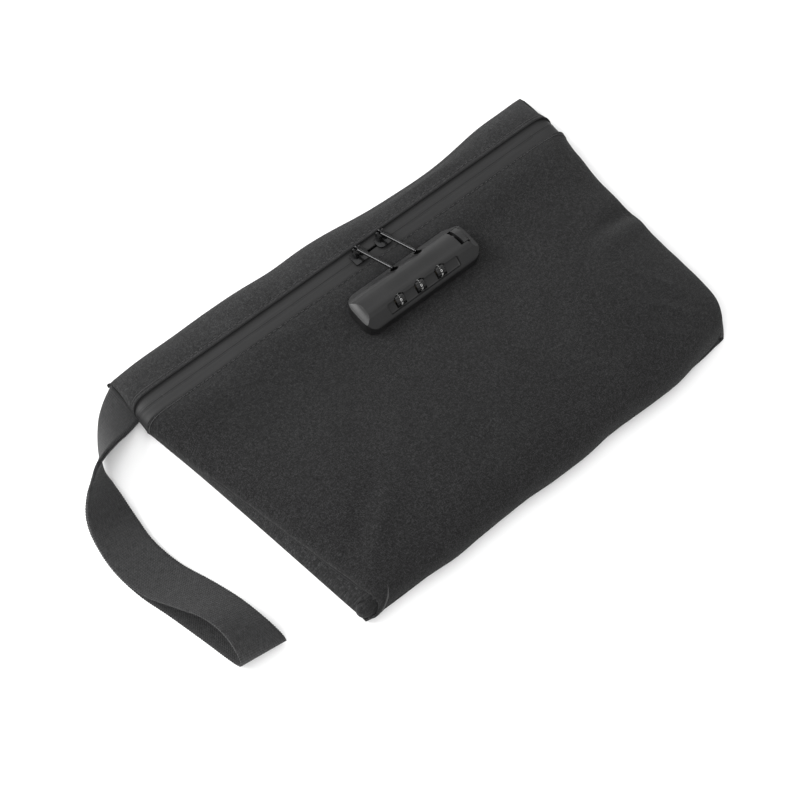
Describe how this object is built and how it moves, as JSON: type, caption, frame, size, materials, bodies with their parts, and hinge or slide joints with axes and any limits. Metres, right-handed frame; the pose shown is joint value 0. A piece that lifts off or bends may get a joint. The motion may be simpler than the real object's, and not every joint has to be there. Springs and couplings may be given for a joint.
{
  "type": "cash deposit bag",
  "caption": "Flat zip-top fabric pouch with two facing zip pulls held by a combination lock on the front panel, and a wrist strap.",
  "frame": {"origin": "on the outer face of the back panel, midway between the side seams and midway between the zip edge and the bottom edge", "axes": "+X along the zip, away from the wrist strap; +Y from the bottom edge towards the zip edge; +Z out of the front panel, up as the bag lies on its back"},
  "size_m": [0.3369, 0.1875, 0.0287],
  "materials": {
    "shell_fabric": "heathered plain weave",
    "lining_fabric": "smooth woven lining",
    "zip_tape": "coated, water repellent",
    "coil": "nylon coil",
    "black_metal": "glossy black plating",
    "lock_plastic": "satin",
    "dial_plastic": "glossy with white figures",
    "steel": "plain",
    "brass": "plain",
    "webbing": "ribbed webbing"
  },
  "bodies": {
    "bag": {"front_panel": "shell_fabric", "back_panel": "shell_fabric", "top_band": "shell_fabric", "lining_front": "lining_fabric", "lining_back": "lining_fabric", "zip_tape_upper": "zip_tape", "zip_tape_lower": "zip_tape", "zip_coil_upper": "coil", "zip_coil_lower": "coil", "zip_stop_left": "black_metal", "zip_stop_right": "black_metal", "lock_cover": "lock_plastic", "lock_base": "steel", "lock_backplate": "steel", "lock_screw_left": "steel", "lock_screw_right": "steel", "dial_shaft": "steel", "detent_spring": "steel", "latch_spring": "steel", "wrist_strap": "webbing"},
    "slider_left": {"slider_left": "black_metal"},
    "slider_right": {"slider_right": "black_metal"},
    "pull_left": {"pull_left": "black_metal"},
    "pull_right": {"pull_right": "black_metal"},
    "dial_1": {"dial_1": "dial_plastic", "dial_sleeve_1": "brass"},
    "dial_2": {"dial_2": "dial_plastic", "dial_sleeve_2": "brass"},
    "dial_3": {"dial_3": "dial_plastic", "dial_sleeve_3": "brass"},
    "release": {"release_button": "lock_plastic", "latch_bar": "steel"}
  },
  "joints": [
    {"name": "slider_left_travel", "type": "slide", "parent": "bag", "child": "slider_left", "axis": [-1, 0, 0], "range_m": [-0.0024, 0.1204]},
    {"name": "slider_right_travel", "type": "slide", "parent": "bag", "child": "slider_right", "axis": [1, 0, 0], "range_m": [-0.0024, 0.0968]},
    {"name": "pull_left_flip", "type": "hinge", "parent": "slider_left", "child": "pull_left", "pos_m": [0.0039, 0.0668, 0.017], "axis": [-0.9816, -0.1908, 0], "range_deg": [0, 160]},
    {"name": "pull_right_flip", "type": "hinge", "parent": "slider_right", "child": "pull_right", "pos_m": [0.0197, 0.0668, 0.017], "axis": [-0.9816, -0.1908, 0], "range_deg": [0, 160]},
    {"name": "dial_1_turn", "type": "hinge", "parent": "bag", "child": "dial_1", "pos_m": [-0.0006, 0.0269, 0.0237], "axis": [1, 0, 0], "continuous": true},
    {"name": "dial_2_turn", "type": "hinge", "parent": "bag", "child": "dial_2", "pos_m": [0.0128, 0.0269, 0.0237], "axis": [1, 0, 0], "continuous": true},
    {"name": "dial_3_turn", "type": "hinge", "parent": "bag", "child": "dial_3", "pos_m": [0.0262, 0.0269, 0.0237], "axis": [1, 0, 0], "continuous": true},
    {"name": "release_press", "type": "slide", "parent": "bag", "child": "release", "axis": [-1, 0, 0], "range_m": [0, 0.0018], "stiffness_N_per_m": 300, "springref_m": -0.002, "deforming": ["latch_spring"]}
  ]
}
